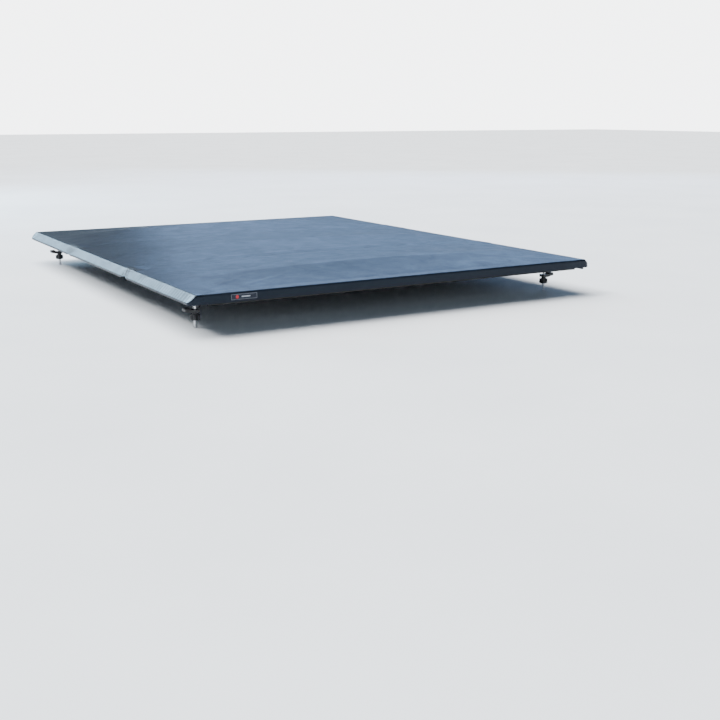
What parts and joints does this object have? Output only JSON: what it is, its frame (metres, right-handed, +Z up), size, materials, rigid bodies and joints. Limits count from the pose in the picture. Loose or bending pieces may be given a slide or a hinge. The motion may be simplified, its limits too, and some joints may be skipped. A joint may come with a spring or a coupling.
{
  "type": "tonneau cover",
  "caption": "Soft folding tonneau cover for a pickup bed: hinged vinyl-covered panels on aluminium frames, with crowned bows, rubber seals and swing-down clamps.",
  "frame": {"origin": "middle of the cover's plan, on the plane of the bed rails that the side seals rest on", "axes": "+X to the truck's right, +Y forward to the cab, +Z up"},
  "size_m": [1.65, 2.0069, 0.163],
  "materials": {
    "vinyl": "satin black vinyl with a fine leather grain",
    "black_rail": "satin black powder coat on an extrusion",
    "mill_aluminium": "drawn mill finish",
    "black_nylon": "moulded glass-filled nylon",
    "zinc_steel": "bright zinc plate",
    "seal_rubber": "extruded rubber",
    "clamp_black": "cast, black powder coat",
    "pad_rubber": "ribbed rubber",
    "knob_plastic": "moulded, fine texture",
    "tag_woven": "woven label with a printed mark"
  },
  "bodies": {
    "front_panel": {"front_skin": "vinyl", "front_rail_left": "black_rail", "front_rail_right": "black_rail", "front_header": "black_rail", "front_fold_rail": "black_rail", "front_bow": "mill_aluminium", "front_bow_brackets": "black_nylon", "front_corners": "black_nylon", "front_hinges": "black_nylon", "front_pins": "zinc_steel", "front_screws": "zinc_steel", "front_side_seals": "seal_rubber", "bulkhead_seal": "seal_rubber", "front_clamp_brackets": "clamp_black"},
    "front_fold_link": {"front_fold_links": "zinc_steel", "front_fold_vinyl": "vinyl"},
    "middle_panel": {"middle_skin": "vinyl", "middle_rail_left": "black_rail", "middle_rail_right": "black_rail", "middle_rear_fold_rail": "black_rail", "middle_front_fold_rail": "black_rail", "middle_bow": "mill_aluminium", "middle_bow_brackets": "black_nylon", "middle_hinges": "black_nylon", "middle_pins": "zinc_steel", "middle_screws": "zinc_steel", "middle_side_seals": "seal_rubber"},
    "rear_fold_link": {"rear_fold_links": "zinc_steel", "rear_fold_vinyl": "vinyl"},
    "rear_panel": {"rear_skin": "vinyl", "rear_rail_left": "black_rail", "rear_rail_right": "black_rail", "rear_header": "black_rail", "rear_fold_rail": "black_rail", "rear_bow": "mill_aluminium", "rear_bow_brackets": "black_nylon", "rear_corners": "black_nylon", "rear_hinges": "black_nylon", "rear_pins": "zinc_steel", "rear_screws": "zinc_steel", "rear_side_seals": "seal_rubber", "tailgate_seal": "seal_rubber", "tag": "tag_woven", "rear_clamp_brackets": "clamp_black"},
    "front_left_clamp_bolt": {"front_left_bolt": "zinc_steel"},
    "front_left_clamp_jaw": {"front_left_jaw": "clamp_black", "front_left_pad": "pad_rubber"},
    "front_left_clamp_knob": {"front_left_knob": "knob_plastic"},
    "front_right_clamp_bolt": {"front_right_bolt": "zinc_steel"},
    "front_right_clamp_jaw": {"front_right_jaw": "clamp_black", "front_right_pad": "pad_rubber"},
    "front_right_clamp_knob": {"front_right_knob": "knob_plastic"},
    "rear_left_clamp_bolt": {"rear_left_bolt": "zinc_steel"},
    "rear_left_clamp_jaw": {"rear_left_jaw": "clamp_black", "rear_left_pad": "pad_rubber"},
    "rear_left_clamp_knob": {"rear_left_knob": "knob_plastic"},
    "rear_right_clamp_bolt": {"rear_right_bolt": "zinc_steel"},
    "rear_right_clamp_jaw": {"rear_right_jaw": "clamp_black", "rear_right_pad": "pad_rubber"},
    "rear_right_clamp_knob": {"rear_right_knob": "knob_plastic"}
  },
  "joints": [
    {"name": "front_fold", "type": "hinge", "parent": "front_panel", "child": "front_fold_link", "pos_m": [0, 0.423, 0.034], "axis": [-1, 0, 0], "range_deg": [0, 90]},
    {"name": "front_fold_far", "type": "hinge", "parent": "front_fold_link", "child": "middle_panel", "pos_m": [0, 0.285, 0.034], "axis": [-1, 0, 0], "range_deg": [0, 90]},
    {"name": "rear_fold", "type": "hinge", "parent": "middle_panel", "child": "rear_fold_link", "pos_m": [0, -0.337, 0.034], "axis": [-1, 0, 0], "range_deg": [0, 90]},
    {"name": "rear_fold_far", "type": "hinge", "parent": "rear_fold_link", "child": "rear_panel", "pos_m": [0, -0.403, 0.034], "axis": [-1, 0, 0], "range_deg": [0, 90]},
    {"name": "front_left_clamp_swing", "type": "hinge", "parent": "front_panel", "child": "front_left_clamp_bolt", "pos_m": [-0.74, 0.833, 0.018], "axis": [0, -1, 0], "range_deg": [0, 90]},
    {"name": "front_left_jaw_travel", "type": "slide", "parent": "front_left_clamp_bolt", "child": "front_left_clamp_jaw", "axis": [0, 0, -1], "range_m": [0, 0.014]},
    {"name": "front_left_knob_turn", "type": "hinge", "parent": "front_left_clamp_jaw", "child": "front_left_clamp_knob", "pos_m": [-0.74, 0.833, -0.07], "axis": [0, 0, -1], "range_deg": [0, 2521]},
    {"name": "front_right_clamp_swing", "type": "hinge", "parent": "front_panel", "child": "front_right_clamp_bolt", "pos_m": [0.74, 0.833, 0.018], "axis": [0, 1, 0], "range_deg": [0, 90]},
    {"name": "front_right_jaw_travel", "type": "slide", "parent": "front_right_clamp_bolt", "child": "front_right_clamp_jaw", "axis": [0, 0, -1], "range_m": [0, 0.014]},
    {"name": "front_right_knob_turn", "type": "hinge", "parent": "front_right_clamp_jaw", "child": "front_right_clamp_knob", "pos_m": [0.74, 0.833, -0.07], "axis": [0, 0, -1], "range_deg": [0, 2521]},
    {"name": "rear_left_clamp_swing", "type": "hinge", "parent": "rear_panel", "child": "rear_left_clamp_bolt", "pos_m": [-0.74, -0.833, 0.018], "axis": [0, -1, 0], "range_deg": [0, 90]},
    {"name": "rear_left_jaw_travel", "type": "slide", "parent": "rear_left_clamp_bolt", "child": "rear_left_clamp_jaw", "axis": [0, 0, -1], "range_m": [0, 0.014]},
    {"name": "rear_left_knob_turn", "type": "hinge", "parent": "rear_left_clamp_jaw", "child": "rear_left_clamp_knob", "pos_m": [-0.74, -0.833, -0.07], "axis": [0, 0, -1], "range_deg": [0, 2521]},
    {"name": "rear_right_clamp_swing", "type": "hinge", "parent": "rear_panel", "child": "rear_right_clamp_bolt", "pos_m": [0.74, -0.833, 0.018], "axis": [0, 1, 0], "range_deg": [0, 90]},
    {"name": "rear_right_jaw_travel", "type": "slide", "parent": "rear_right_clamp_bolt", "child": "rear_right_clamp_jaw", "axis": [0, 0, -1], "range_m": [0, 0.014]},
    {"name": "rear_right_knob_turn", "type": "hinge", "parent": "rear_right_clamp_jaw", "child": "rear_right_clamp_knob", "pos_m": [0.74, -0.833, -0.07], "axis": [0, 0, -1], "range_deg": [0, 2521]}
  ],
  "couplings": [
    {"joint": "front_fold_far", "follows": "front_fold", "ratio": 1},
    {"joint": "rear_fold_far", "follows": "rear_fold", "ratio": 1},
    {"joint": "front_left_knob_turn", "follows": "front_left_jaw_travel", "rad_per_m": 3141.6},
    {"joint": "front_right_knob_turn", "follows": "front_right_jaw_travel", "rad_per_m": 3141.6},
    {"joint": "rear_left_knob_turn", "follows": "rear_left_jaw_travel", "rad_per_m": 3141.6},
    {"joint": "rear_right_knob_turn", "follows": "rear_right_jaw_travel", "rad_per_m": 3141.6}
  ]
}
